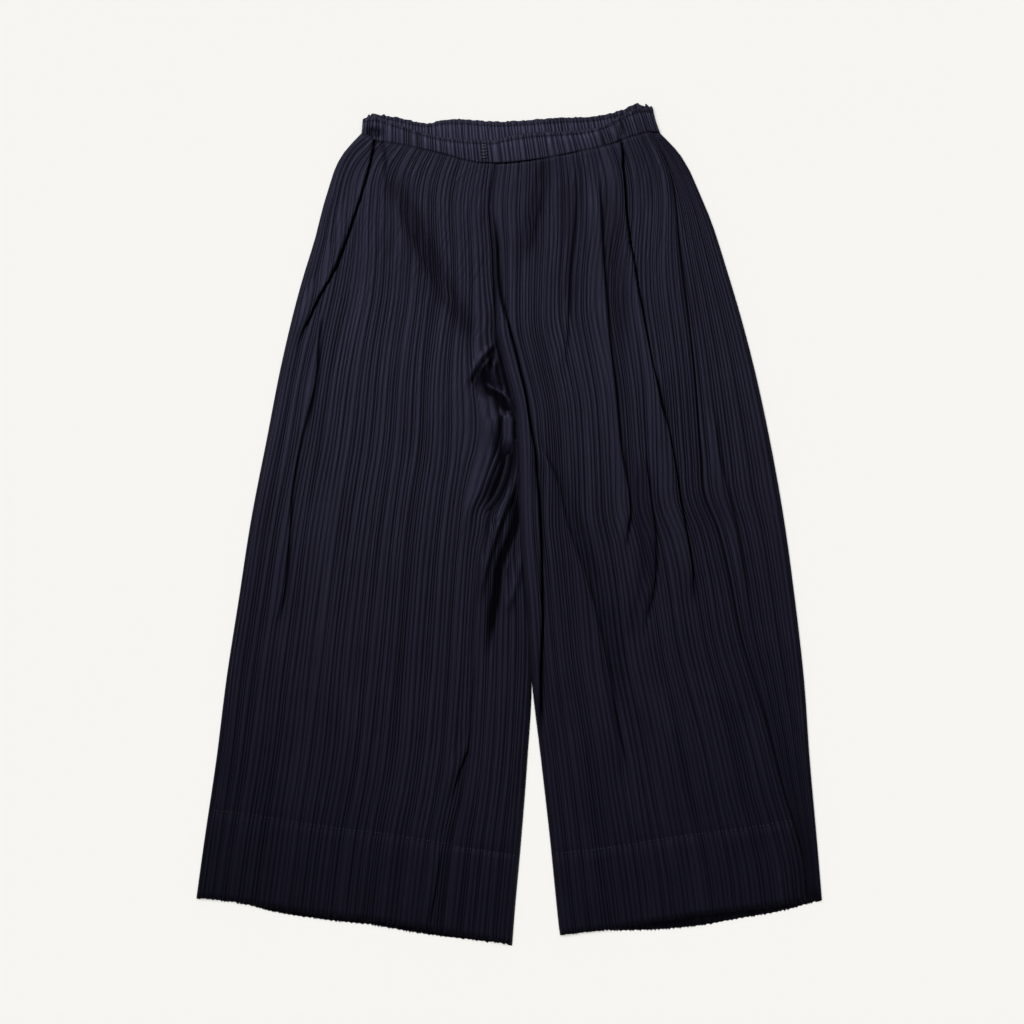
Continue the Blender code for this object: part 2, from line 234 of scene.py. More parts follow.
def pleated_cloth(name, gloss):
    """Dark matt cloth with painted light on its ridges and painted shade in valleys and creases."""
    material, tree, shader = new_material(name)
    uv = add_node(tree, "ShaderNodeUVMap", {"uv_map": "cloth"}, {}, "UV")
    ridge, painted_crease_shade = (
        add_node(tree, "ShaderNodeAttribute", {"attribute_name": label}, {}, "Fac")
        for label in ("ridge", "painted_crease_shade"))
    streaks = add_node(tree, "ShaderNodeMapping", {}, {"Vector": uv, "Scale": STREAKS})
    streaks = add_node(
        tree, "ShaderNodeTexNoise", {}, {"Vector": streaks, "Scale": 1.0, "Detail": 3.0}, "Fac")
    patches = add_node(
        tree, "ShaderNodeTexNoise", {}, {"Vector": uv, "Scale": 22.0, "Detail": 2.0}, "Fac")
    # Painted light and shade from the pleat height, plus random streaks and patches.
    light = ridge * 0.7 + streaks * 1.1 + patches * 0.3 - 0.62
    base = add_node(
        tree, "ShaderNodeMix", {"data_type": "RGBA", "clamp_factor": True},
        {0: light, 6: NAVY_VALLEY_SHADED, 7: NAVY_RIDGE_LIT}, 2)
    rough = patches * 0.16 + (0.93 - ridge * 0.16 - streaks * 0.66)

    warp, weft = (
        add_node(
            tree, "ShaderNodeTexWave", {"wave_type": "BANDS", "bands_direction": direction},
            {"Vector": uv, "Scale": METRE_WAVE / WEAVE_PITCH, "Distortion": 0.6, "Detail": 1.0},
            "Fac")
        for direction in ("X", "Y"))
    bump = add_node(
        tree, "ShaderNodeBump", {},
        {"Height": warp * weft * 0.2 + streaks, "Strength": 0.6, "Distance": 0.0005})
    feed(shader, {
        "Base Color": base, "Roughness": rough, "Normal": bump, "Specular IOR Level": gloss,
        "Specular Tint": GLOSS_TINT, "Sheen Weight": 0.02, "Sheen Roughness": 0.4,
        "Sheen Tint": SHEEN_TINT})

    # A near-black shader, mixed in by the crease mask: painted shade inside the creases.
    deep = add_node(
        tree, "ShaderNodeBsdfPrincipled", {},
        {"Base Color": CREASE_SHADE_COLOUR, "Roughness": 0.9, "Specular IOR Level": 0.0})
    whole = add_node(
        tree, "ShaderNodeMixShader", {},
        {0: painted_crease_shade * 0.92, 1: Wire(shader.outputs[0]), 2: deep})
    feed(tree.nodes["Material Output"], {"Surface": whole})
    return material


leg_cloth = pleated_cloth("ink_navy_leg_cloth", 0.3)
band_cloth = pleated_cloth("ink_navy_waistband_cloth", 0.45)
under_cloth = pleated_cloth("ink_navy_under_side", 0.2)
print("cloth finishes", leg_cloth.name, band_cloth.name, under_cloth.name)

# %% [markdown]
# ## Finish of the surface
# The surface is plain and pale. One flat colour would do from far off, but a
# very faint change from place to place looks more like paper. The sewing
# thread further down varies in the same way, only on a far smaller scale.

# %% Pale surface material
PAPER_SHADE = (0.898, 0.889, 0.858, 1.0)
PAPER_COLOUR = (0.902, 0.893, 0.862, 1.0)


def speckled(name, scale, detail, shade, colour, roughness, gloss):
    """Material whose colour varies between two colours from place to place."""
    material, tree, shader = new_material(name)
    place = add_node(tree, "ShaderNodeTexCoord", {}, {}, "Object")
    spots = add_node(
        tree, "ShaderNodeTexNoise", {}, {"Vector": place, "Scale": scale, "Detail": detail}, "Fac")
    blend = add_node(
        tree, "ShaderNodeMix", {"data_type": "RGBA"}, {0: spots, 6: shade, 7: colour}, 2)
    feed(shader, {"Base Color": blend, "Roughness": roughness, "Specular IOR Level": gloss})
    return material


paper = speckled("pale_paper", 3.0, 1.0, PAPER_SHADE, PAPER_COLOUR, 1.0, 0.0)
floor_mesh.materials.append(paper)
print("surface finish", paper.name)

# %% [markdown]
# ## Outlines of the cut pieces
# Each leg lies between a line down its outer side and a line down its
# inseam, and between its waist seam and its hem. The lines are short tables:
# a maker would mark the same points on a pattern. A curve object could hold
# them too, but a table can be read at any height, which the folds need.
# Edges that run down are rows of (y, x), edges that run across of (x, y).

# %% Edge lines in millimetres
RIGHT_SIDE = (
    (410, -155), (393, -171), (341, -193), (299, -204), (257, -217), (173, -238), (89, -254.5),
    (5, -271), (-79, -284), (-163, -297), (-247, -307.5), (-331, -320), (-392, -328.5),
)
LEFT_SIDE = (
    (410, 158), (393, 174.5), (341, 202), (257, 231), (173, 254.5), (89, 273), (5, 288), (-79, 299.5),
    (-163, 309), (-247, 315), (-331, 322.5), (-402, 328.5),
)
CENTRE_SEAM = (
    (378.5, -14.5), (332, -19.5), (288, -16), (236, -14.5), (200, -13.5), (171, -6.5), (115, 6.5),
    (89, 8.5), (-16, 11.5), (-79, 16.5), (-163, 23),
)
RIGHT_INSEAM = CENTRE_SEAM + (
    (-247, 18.5), (-331, 12), (-415, 4.5), (-441.5, 2.5),
)
LEFT_INSEAM = CENTRE_SEAM + (
    (-247, 33), (-331, 42.5), (-415, 51), (-433, 53),
)
FRONT_FOLD_LINE = (
    (411, 150), (377.5, 166), (285, 180), (182, 193), (71, 202), (29, 206), (-3, 219), (-48, 230.5),
    (-121, 245), (-174, 261), (-225, 275.5), (-279, 289), (-313, 299), (-352, 309), (-394, 314.5),
)
FRONT_WAIST_SEAM = (
    (-155, 410), (-144, 403), (-122, 399.5), (-94, 394), (-65, 387), (-46, 381.5), (-14.5, 378.5),
    (17, 381), (44, 385), (71, 390.5), (103, 397.5), (130, 407), (150, 411), (158, 410),
)
BACK_WAIST_SEAM = (
    (-155, 410), (-110, 402.5), (-60, 397), (-14.5, 395), (50, 396.5), (110, 402.5), (158, 410),
)
FRONT_BAND_TOP = (
    (-155, 424), (-141, 426.5), (-120, 420), (-96, 411.5), (-72, 405.5), (-39, 403), (-13, 403),
    (-3, 406), (17, 409.5), (53, 411.5), (83, 413.5), (103, 419.5), (118, 428), (137, 436),
    (151, 434), (158, 428),
)
BACK_BAND_TOP = (
    (-155, 427), (-141, 430), (-115, 426), (-83, 421), (-73, 423.5), (-10, 422.5), (53, 426.5),
    (95, 429), (116, 434), (137, 441), (151, 436), (158, 430),
)
RIGHT_FRONT_HEM = (
    (-328.5, -392), (-283, -396.5), (-245, -403.5), (-195, -411), (-144, -416.5), (-94, -424.5),
    (-31, -435), (2.5, -440.5),
)
RIGHT_BACK_HEM = (
    (-328.5, -392), (-283, -398.5), (-245, -407.5), (-195, -415), (-144, -421), (-94, -429.5),
    (-31, -437.5), (2.5, -441.5),
)
LEFT_FRONT_HEM = (
    (53, -431), (116, -424), (174, -414.5), (231, -407), (278, -401.5), (314.5, -394),
)
LEFT_BACK_HEM = (
    (53, -433), (95, -434), (158, -433), (200, -429), (242, -421.5), (284, -414), (328.5, -402),
)


# %% Helpers that read the tables
NOISE_SIZE = (61, 67)


def ease(value):
    """Ease a value from 0 to 1, flat at both ends."""
    value = np.clip(value, 0.0, 1.0)
    return value * value * (3.0 - 2.0 * value)


def mix(start, end, amount):
    """Blend two numbers or arrays."""
    return start + (end - start) * amount


def read_line(table, position):
    """Read a smooth line through a table of (position, value) rows."""
    places, values = np.array(sorted(table), dtype=float).T
    position = np.clip(position, places[0], places[-1])
    index = np.clip(np.searchsorted(places, position) - 1, 0, len(places) - 2)
    slopes = np.gradient(values, places)
    span = places[index + 1] - places[index]
    t = (position - places[index]) / span
    return (
        values[index] * (2 * t**3 - 3 * t**2 + 1)
        + slopes[index] * span * (t**3 - 2 * t**2 + t)
        + values[index + 1] * (3 * t**2 - 2 * t**3)
        + slopes[index + 1] * span * (t**3 - t**2)
    )


def lay_between(left, right, top, hem, across, down):
    """Places between four edges, for a share across and a share down."""
    left_y = mix(left[0][0], left[-1][0], down)
    right_y = mix(right[0][0], right[-1][0], down)
    top_x = mix(left[0][1], right[0][1], across)
    hem_x = mix(left[-1][1], right[-1][1], across)
    top_bow = read_line(top, top_x) - mix(left[0][0], right[0][0], across)
    hem_bow = read_line(hem, hem_x) - mix(left[-1][0], right[-1][0], across)
    x = mix(read_line(left, left_y), read_line(right, right_y), across)
    y = mix(left_y, right_y, across) + mix(top_bow, hem_bow, down)
    return x, y


def soft_noise(x, y, x_size, y_size, seed):
    """Smooth random hills between -1 and 1 of the given width and length."""
    hills = np.random.default_rng(seed).uniform(-1.0, 1.0, NOISE_SIZE)
    x = np.asarray(x, dtype=float) / x_size
    y = np.asarray(y, dtype=float) / y_size
    column = np.floor(x).astype(int)
    row = np.floor(y).astype(int)
    left, right = column % NOISE_SIZE[0], (column + 1) % NOISE_SIZE[0]
    near, far = row % NOISE_SIZE[1], (row + 1) % NOISE_SIZE[1]
    across = ease(x - column)
    return mix(
        mix(hills[left, near], hills[right, near], across),
        mix(hills[left, far], hills[right, far], across), ease(y - row))


print("outseam", round(math.dist(RIGHT_SIDE[0], RIGHT_SIDE[-1])), "mm in a straight line")


# %% [markdown]
# ## Folds
# The large folds are what make this one garment and no other, so each is
# placed one by one. A fold is a dark crease line with cloth that swells up on
# one side of it and leans over it. A cloth simulation would fold somewhere
# else, so these folds come from tables. One row holds one fold: the side that
# swells (-1 left, +1 right), how far it rises, over what distance it comes up
# from the crease, how wide it is, how far it leans over, how deep the crease
# cuts in, and the crease line itself, from its top to its bottom.

# %% Fold tables
RIGHT_FRONT_FOLDS = {
    "side fold": (-1, 4.2, 4.5, 17, 4, 1.6, (
        (448, -138), (406, -141), (373, -149), (349, -156), (319, -165), (289, -175), (266, -184),
        (242, -198), (208, -213), (180, -222))),
    "seam pucker": (1, 1.2, 3.5, 13, 1, 0.8, (
        (428, -137), (396, -132), (372, -130), (340, -130))),
    "outer fold": (-1, 2, 4, 14, 2, 0.9, (
        (235, -195), (187, -199), (146, -203), (116, -210), (83, -218), (35, -227), (-12, -230),
        (-83, -237), (-115, -245))),
    "hip drape": (-1, 1.6, 12, 40, 2, 0.3, (
        (355, -121), (323, -108), (285, -89), (259, -72), (230, -49), (190, -34))),
    "centre ridge": (-1, 1.8, 3.5, 16, 1.5, 0.5, (
        (378, -16), (332, -20.5), (288, -17), (236, -15.5), (190, -13))),
    "inner thigh fold": (-1, 2.2, 4, 16, 2, 0.9, (
        (0, -12), (-35, -13.5), (-108, -20), (-166, -31), (-217, -37), (-263, -54), (-300, -62))),
    "hem fold": (-1, 1.2, 2.5, 14, 1.2, 0.7, (
        (-325, -67), (-342, -71), (-389, -79), (-436, -88))),
}
LEFT_FRONT_FOLDS = {
    "deep hip fold": (-1, 4, 4.5, 24, 4.2, 1.3, (
        (436, 114), (402, 116), (313, 123), (259, 133), (195, 144), (137, 157), (71, 171), (16, 180),
        (-36, 189), (-85, 195))),
    "front fold": (-1, 2.4, 4, 16, 2.4, 0.9, (
        (368, 96), (342, 97), (266, 100), (206, 104.5), (146, 112), (83, 118), (12, 126.5),
        (-35, 122))),
    "waist fold": (-1, 1.6, 5, 16, 1.6, 0.5, (
        (378, 71), (338, 71), (266, 65.5), (230, 63.5), (155, 59))),
    "short waist fold": (-1, 1.4, 5, 12, 1.2, 0.3, (
        (372, 38), (332, 33), (280, 20))),
    "centre strip": (-1, 4, 5, 36, 3, 1.4, (
        (330, -14), (300, -12), (236, -8), (187, 5), (163, 10.5), (139, 16), (116, 19.5), (92, 23.5),
        (43, 29), (-19, 32.8), (-50, 34), (-108, 34), (-155, 33), (-230, 34))),
    "knee curl": (-1, 2.2, 4.5, 15, 2.2, 0.8, (
        (90, 139), (71, 142.5), (24, 149.6), (-17, 154), (-55, 154), (-95, 144), (-125, 136))),
    "long thigh drape": (-1, 2, 6, 24, 2, 0.7, (
        (100, 32), (83, 35), (48, 50), (7, 61), (-31, 73), (-67, 85.5), (-143, 104.5), (-233, 118),
        (-275, 131))),
    "edge fold": (-1, 2.8, 4, 22, 1, 0, tuple(
        (y, x + 1) for y, x in FRONT_FOLD_LINE)),
}
STRIP_FOLDS = {
    "strip fold": (-1, 1.6, 4, 11, 1.4, 0.7, (
        (135, 213.5), (119, 216), (65, 223), (3, 238), (-46, 247), (-90, 256))),
}


# %% Helper that lays the folds
FOLD_TAPER = 45.0
CREASE_HALF_WIDTH = 2.2
FULL_SHADE_GROOVE = 1.2


def fade_ends(line, y, share, longest=math.inf):
    """1 along a line, eased to 0 over a share of it at its top and its bottom."""
    top, bottom = line[0][0], line[-1][0]
    taper = min(longest, (top - bottom) * share)
    return ease((top - y) / taper) * ease((y - bottom) / taper)


def lay_folds(folds, x, y):
    """Rise, sideways lean and painted crease shade that the folds give to a panel."""
    rise, lean, depth = (np.zeros_like(x) for part in range(3))
    for side, swell, steep, width, over, groove, line in folds.values():
        fade = fade_ends(line, y, 0.35, FOLD_TAPER)
        away = side * (x - read_line(line, y))
        up = ease(away / steep)
        down = ease((width - away) / (width - steep))
        bulge = fade * np.where(away < steep, up, down)
        dip = fade * np.exp(-(away / CREASE_HALF_WIDTH) ** 2)
        rise += swell * bulge - groove * dip
        lean -= side * over * bulge
        # Painted shade along each crease, stronger the deeper its groove.
        depth = np.maximum(depth, dip * min(1.0, groove / FULL_SHADE_GROOVE))
    return rise, lean, depth


print("folds", len(RIGHT_FRONT_FOLDS), "right,", len(LEFT_FRONT_FOLDS), "left")


# %% [markdown]
# ## The fork
# Where the legs part, the left leg lies on the edge of the right one, and the
# right leg's cloth is bunched under it. The bunch ends in a fold, and a fan of
# pleats comes out from under that fold and runs down the inner thigh. So the
# right front is made as two sheets that overlap along the fold: a bunched one
# and a fanned one. One grid could double back there, but two are easier to
# shape and leave no pinched faces.
# Short ridges and hollows shape the bunch, and long shallow troughs run over
# the hip and the thighs. Every hollow and trough is also darkened with painted
# shade, the more the deeper it is. One row holds one of them: how high it
# stands (below 0 for a hollow), its half width and its line.

# %% Fork tables
BUNCH_FOOT = (
    (-100, -35), (-184, -39), (-247, -43.5), (-290, -50), (-330, -58), (-380, -64), (-428, -69),
)
BUNCH_EDGE = (
    (378.5, -14.5), (332, -19.5), (288, -16), (262, -15), (236, -11), (215, -6.5), (200, -5.5),
    (171, 1.5), (140, 8.5), (115, 14), (89, 15), (74, 11), (62, 5), (47, -2), (27, -11), (14, -20.5),
    (-10, -25.7), (-26, -30), (-58, -33),
) + BUNCH_FOOT
PLEAT_DRIFT = (
    (378.5, -14.5), (332, -19.5), (288, -18), (236, -18), (200, -20), (171, -22), (145, -22.5),
    (115, -21.5), (89, -20.5), (62, -21.5), (27, -26), (-26, -31),
) + BUNCH_FOOT
BUNCH_WIDTH = 18.0
FAN_START = (
    (89, -3), (62, -5), (47, -9), (27, -18), (14, -27.5), (-10, -33), (-26, -37), (-58, -40),
) + tuple((y, x - 7) for y, x in BUNCH_FOOT)
FAN_INSEAM = (
    (89, 16), (-16, 18.5), (-79, 22.5), (-120, 23.5), (-163, 23), (-247, 18.5), (-331, 12),
    (-415, 4.5), (-441.5, 2.5),
)
BUNCH_SHAPES = (
    (-3.4, 2.8, ((192, -16), (183.2, -17.3), (167.5, -19.4), (153.8, -23.6), (138, -24.7))),
    (-1.8, 5, ((176, -10), (166.4, -10), (155.9, -10.5), (145, -9.5), (136, -8))),
    (-5.5, 7.5, ((168, -23), (158, -24.5), (149, -24), (141, -21), (128, -17))),
    (-5.5, 9, ((150, -24), (140, -18), (133, -11), (125.6, -5), (112, 2))),
    (-2.6, 2, ((120, -8.6), (108, -8.3), (96, -8.3), (80, -8.6))),
    (-2.6, 2, ((118, 5.8), (100, 5.8), (85, 5.6), (66, 5))),
    (-2.2, 2.4, ((186, -17), (181.4, -18.4), (167.7, -28.9), (153.7, -37.5), (140, -42))),
    (2.2, 3, ((194, -14), (189.5, -16.3), (181, -24.7), (170, -33), (150, -41))),
    (2.6, 2.6, ((182, -17.5), (176, -19.4), (170, -24.7), (157, -33.6), (140, -39.5))),
    (2.8, 6.5, (
        (142, -36), (125.5, -29.5), (110, -24), (98.2, -22), (78, -21), (62, -22), (50, -25),
        (30, -33), (15, -40), (-12, -46))),
    (-4.5, 8.5, (
        (108, -8), (92, -6), (75, -4.5), (58, -5), (40, -11), (22, -19), (4, -28))),
    (1.2, 1.6, ((118, -11.4), (106, -13), (96, -13.4), (84, -11.5))),
    (1.2, 1.5, ((116, -18.4), (104, -19), (92, -18.5), (80, -19))),
)
STRIP_SHADE = tuple((y, x - 2.4) for y, x in CENTRE_SEAM[3:9])
HIP_TROUGH = (
    (388, -125), (360, -119), (320, -103), (288, -88), (235, -62), (189, -37), (165, -31))
BUNCH_SHAPES += ((-2.2, 2.4, STRIP_SHADE), (-1.1, 12, HIP_TROUGH))
LEFT_TROUGHS = (
    (-1.1, 9, ((402, 42), (374, 37), (299, 21), (262, 14))),
    (-1, 8, ((396, 72), (352, 68), (239, 63), (190, 60))),
    (-0.9, 9, ((380, 106), (330, 107), (240, 114), (160, 122))),
    (-0.85, 10, (
        (100, 131), (24, 141), (-30, 145), (-70, 142), (-110, 130), (-150, 118))),
    (-0.75, 9, ((80, 43), (7, 68), (-67, 93), (-143, 111), (-220, 121))),
)
LOOP_SHAPES = (
    (4.4, 1.7, ((150, -24), (144.5, -20.5), (141.5, -15), (138.1, -9), (131.8, -1.5), (124, 2),
        (114, 5.5))),
    (2, 1.2, ((174, -16.6), (168, -16.8), (158, -16.6), (149, -16.4))),
)
FAN_SHAPES = (
    (-4.4, 4.6, (
        (56, 9.5), (25.7, 6.8), (10, 6.8), (-5.8, 4.7), (-19.4, -0.5), (-32, -5.8), (-44.6, -10),
        (-75, -14.2), (-104, -18.6), (-150, -22.5))),
    (6, 3.8, (
        (64, 8.5), (36.2, 2), (20.5, -3.5), (-0.5, -11.5), (-21.5, -18.5), (-47.8, -25.7), (-90, -32))),
    (1.2, 1.3, ((40, -2), (20, -9), (0, -17), (-30, -25.5))),
    (2.8, 4, ((-26, 13.6), (-43.6, 11), (-58.3, 8), (-74, 3.7), (-95, -2.5))),
    (1.5, 2.2, ((-8, 5), (-32, 0.5), (-58, -5))),
)


# %% Fork helper
FULL_SHADE_HOLLOW = 2.4


def press(shapes, x, y):
    """Height of the ridges, depth of the hollows and painted shade in the hollows, for a list of
    shapes.
    """
    ridges, hollows, painted_shade = (np.zeros_like(x) for part in range(3))
    for height, half_width, line in shapes:
        shape = np.exp(-((x - read_line(line, y)) / half_width) ** 2)
        shape = fade_ends(line, y, 0.3) * shape
        ridges += max(height, 0.0) * shape
        hollows += max(-height, 0.0) * shape
        # Each hollow gets painted shade, stronger the deeper it is.
        deep = min(1.0, max(0.0, -height) / FULL_SHADE_HOLLOW)
        painted_shade = np.maximum(painted_shade, np.minimum(1.0, 1.5 * shape) * deep)
    return ridges, hollows, painted_shade


print("ridges and hollows", len(BUNCH_SHAPES) + len(LOOP_SHAPES) + len(FAN_SHAPES))


# %% [markdown]
# ## Pleats
# A crystal pleat is one small zigzag of the cloth, about 4.5 mm wide. The
# mesh gives each pleat four columns of points: the valley, a flank, the crest
# and the other flank. Real pleats are uneven, so their widths differ, they
# wander sideways, and only some valleys are deep. At the waist one of every
# five valleys closes up, because the elastic gathers the cloth there. The
# valleys are sharp, as the heat set them, so their edges are marked sharp.
# A bump in the material could draw pleats too, but it would vanish from the
# side and would cast no shadow, so the pleats are shape.

# %% Pleat pattern
PLEAT_PHASES = (0.0, 0.24, 0.5, 0.76)
EDGE_STEPS = (0.0, 0.15, 0.4, 0.7)
CLOSING_VALLEY = 3
VALLEY_CYCLE = 5
SHALLOW, DEEP = 0.2, -0.12
DEEP_SHARE = 0.42
MOST_PLEATS = 200


def pleat_columns(count, seed, margin):
    """Place across, pleat number and phase of each column of a panel."""
    widths = 1.0 + np.random.default_rng(seed).uniform(-0.5, 0.5, count)
    edges = np.concatenate([[0.0], np.cumsum(widths)])
    edges = margin + (1.0 - 2.0 * margin) * edges / edges[-1]
    pleats = [
        mix(edges[number], edges[number + 1], phase)
        for number in range(count) for phase in PLEAT_PHASES]
    first = [margin * share for share in EDGE_STEPS]
    last = [1.0 - margin * share for share in (1.0, *reversed(EDGE_STEPS))]
    numbers = np.repeat(
        [0, *range(count), count], [len(first), *[len(PLEAT_PHASES)] * count, len(last)])
    phases = [0.0] * len(first) + [*PLEAT_PHASES] * count + [0.0] * len(last)
    return np.array(first + pleats + last), numbers, np.array(phases)


def pleat_relief(numbers, phases, y, seed, gathered):
    """Height from 0 to 1 of every point in its pleat, and its sideways lean."""
    random = np.random.default_rng(seed)
    depths = np.where(random.uniform(0.0, 1.0, MOST_PLEATS) < DEEP_SHARE, DEEP, SHALLOW)
    depths += random.uniform(-0.12, 0.12, MOST_PLEATS)
    crests = random.uniform(0.78, 1.08, MOST_PLEATS)
    nearest = np.where(phases > 0.5, numbers + 1, numbers)
    valley = depths[nearest] + 0.3 * soft_noise(nearest * 1.37, y, 1.0, 120.0, seed)
    closing = (nearest % VALLEY_CYCLE == CLOSING_VALLEY) * gathered
    valley = mix(valley, 0.85, closing)
    crest = np.sin(np.pi * phases) ** 0.9
    height = crest * crests[numbers] + (1.0 - crest) * valley
    height = height + 0.14 * crest * soft_noise(numbers * 1.7, y, 1.0, 45.0, seed + 1)
    lean = soft_noise(numbers * 1.13, y, 1.0, 130.0, seed + 2) * crest
    return height, lean


# %% [markdown]
# ## A cloth panel
# Every leg panel starts as a flat grid with one column per pleat phase and
# one row every few millimetres. Its points are then laid between the edge
# lines, raised into pleats and folds, and turned down at the side seams. A
# Solidify modifier gives the cloth its thickness under that surface. Pleats
# could also be extruded one by one, but on a grid they all stay one cloth.

# %% Panel helpers
CLOTH_THICKNESS = 0.45


def rows_down(spacings):
    """Shares down a panel, for rows of (end share, number of steps)."""
    shares = [0.0]
    for end, steps in spacings:
        start = shares[-1]
        shares += [mix(start, end, (step + 1) / steps) for step in range(steps)]
    return np.array(shares)


def grid_cloth(name, x, y, z, ridge, painted_crease_shade, material, phases, thickness=CLOTH_THICKNESS):
    """Turn arrays of places, in millimetres, into one piece of cloth."""
    rows, columns = x.shape
    bm = bmesh.new()
    bmesh.ops.create_grid(bm, x_segments=columns - 1, y_segments=rows - 1, size=0.5)
    mesh = bpy.data.meshes.new(name)
    bm.to_mesh(mesh)
    bm.free()
    flat = np.empty(rows * columns * 3)
    mesh.vertices.foreach_get("co", flat)
    flat = flat.reshape(-1, 3)
    column = np.rint((flat[:, 0] + 0.5) * (columns - 1)).astype(int)
    row = np.rint((0.5 - flat[:, 1]) * (rows - 1)).astype(int)
    places = np.stack([x[row, column], y[row, column], z[row, column]], axis=1)
    mesh.vertices.foreach_set("co", (places * MM).ravel())

    across = np.zeros_like(x)
    across[:, 1:] = np.cumsum(np.hypot(np.diff(x, axis=1), np.diff(z, axis=1)), axis=1)
    down = np.zeros_like(y)
    down[1:, :] = np.cumsum(-np.diff(y, axis=0), axis=0)
    corner = np.empty(len(mesh.loops), dtype=int)
    mesh.loops.foreach_get("vertex_index", corner)
    uv = np.stack([across[row, column], down[row, column]], axis=1)[corner] * MM
    mesh.uv_layers.new(name="cloth").data.foreach_set("uv", uv.ravel())
    for label, values in (("ridge", ridge), ("painted_crease_shade", painted_crease_shade)):
        layer = mesh.attributes.new(label, "FLOAT", "POINT")
        layer.data.foreach_set("value", np.clip(values, 0.0, 1.0)[row, column].astype(np.float32))

    ends = np.empty(len(mesh.edges) * 2, dtype=int)
    mesh.edges.foreach_get("vertices", ends)
    first, second = column[ends.reshape(-1, 2)].T
    sharp = (first == second) & (np.asarray(phases) == 0.0)[first]
    mesh.attributes.new("sharp_edge", "BOOLEAN", "EDGE").data.foreach_set("value", sharp)

    mesh.materials.append(material)
    mesh.shade_smooth()
    piece = put_in_scene(name, mesh)
    wall = piece.modifiers.new("cloth_thickness", "SOLIDIFY")
    wall.thickness = thickness * MM
    wall.offset = -1.0
    print(name, rows, "rows", columns, "columns")
    return piece


def turn_down(z, low, distance, radius):
    """Round a layer off towards a seam that lies lower."""
    share = np.clip(distance / radius, 0.0, 1.0)
    return mix(low, z, np.sqrt(1.0 - (1.0 - share) ** 2))


# %% [markdown]
# ## Front of each leg
# The fronts are what the picture shows, so they get the finest grid, with
# closer rows around the fork of the legs. At the waist the pleats crowd
# towards the side, where most of the gathering is, and they are packed so
# close that less light reaches between them. The hem is turned up inside,
# which lifts the cloth a little below its stitch line. At the fork a small
# tab of cloth stands up out of the bunch.

# %% Laying a leg front
FRONT_LEVEL = 3.9
PLEAT_HEIGHT = 1.3
SEAM_LEVEL = 1.8
LOWEST_FRONT = 2.3
SIDE_GATHER = 0.32
SIDE_GATHER_REACH = 170.0
GATHERS_FROM, GATHERS_REACH = 247.0, 131.0
PACKED_FROM, PACKED_REACH = 170.0, 130.0
PACKED_SHADE = 0.45
BUNCH_SPREAD = 0.55
CALM_EDGE = 6.0
SHORT_SWELL, LONG_SWELL = (21.0, 170.0), (52.0, 260.0)
SERRATION, SERRATION_REACH = 1.4, 41.0


def lay_leg(left, right, top, hem, rows, pleats, seed, folds, stitch, gathered_side,
            margin=0.014, bunch_edge=None):
    """Places, heights and painted crease shade of one pleated front, before its edges are shaped."""
    places, numbers, phases = pleat_columns(pleats, seed, margin)
    down = rows[:, None]
    length = left[0][0] - left[-1][0]
    crowd = 1.0 + SIDE_GATHER * (1.0 - ease(down * length / SIDE_GATHER_REACH))
    across = places[None, :] + 0.0 * down
    if gathered_side == "left":
        across = across ** crowd
    elif gathered_side == "right":
        across = 1.0 - (1.0 - across) ** crowd
    x, y = lay_between(left, right, top, hem, across, down)
    width = x[:, -1:] - x[:, :1]
    if bunch_edge is not None:
        sweep = read_line(bunch_edge, y[:, -1:]) - x[:, -1:]
        bunch = BUNCH_WIDTH + BUNCH_SPREAD * np.abs(sweep)
        near = np.clip(1.0 - (1.0 - across) * width / bunch, 0.0, 1.0)
        x = x + sweep * near * near * (2.0 - near)
    pitch = width / pleats
    height, lean = pleat_relief(
        numbers[None, :], phases[None, :], y, seed, ease((y - GATHERS_FROM) / GATHERS_REACH))
    rise, shift, painted_crease_shade = lay_folds(folds, x, y)
    left_way = across * width
    right_way = (1.0 - across) * width
    calm = ease(np.minimum(left_way, right_way) / CALM_EDGE)

    low = ease((60.0 - y) / 300.0)
    swell = 1.1 * soft_noise(x, y, *SHORT_SWELL, seed + 3)
    swell += mix(1.1, 1.7, low) * soft_noise(x, y, *LONG_SWELL, seed + 4)
    below_stitch = (down - stitch) * length
    z = FRONT_LEVEL + (swell + 0.6) * calm + rise
    z += 0.35 * ease(below_stitch / 3.3) - 0.5 * np.exp(-(below_stitch / 2.5) ** 2)
    depth = mix(0.65, 1.0, ease((340.0 - y) / 240.0)) * mix(1.0, 0.8, low)
    z += PLEAT_HEIGHT * depth * (height - 0.6) * mix(0.35, 1.0, calm)
    z += 0.8 * ease((y - 340.0) / 40.0) + 0.8 * ease((y - 370.0) / 30.0)

    packed = ease((y - PACKED_FROM) / PACKED_REACH)
    wander = soft_noise(numbers[None, :] / 2.6, y, 1.0, 120.0, seed + 5) * 0.26
    x = x + (wander + lean * 0.3) * pitch * calm + shift * calm
    y = y + SERRATION * (height - 0.5) * ease(1.0 - (1.0 - down) * length / SERRATION_REACH)
    # Near the waist the ridge values are lowered, which paints shade into the colour of the packed
    # pleats.
    return {
        "x": x, "y": y, "z": z, "ridge": height * (1.0 - PACKED_SHADE * packed),
        "painted_crease_shade": painted_crease_shade, "numbers": numbers, "phases": phases,
        "left_way": left_way, "right_way": right_way, "rows": rows}


def make_leg(name, leg):
    """Turn a shaped front into its piece of cloth."""
    leg["piece"] = grid_cloth(
        name, leg["x"], leg["y"], leg["z"], leg["ridge"], leg["painted_crease_shade"], leg_cloth, leg["phases"])


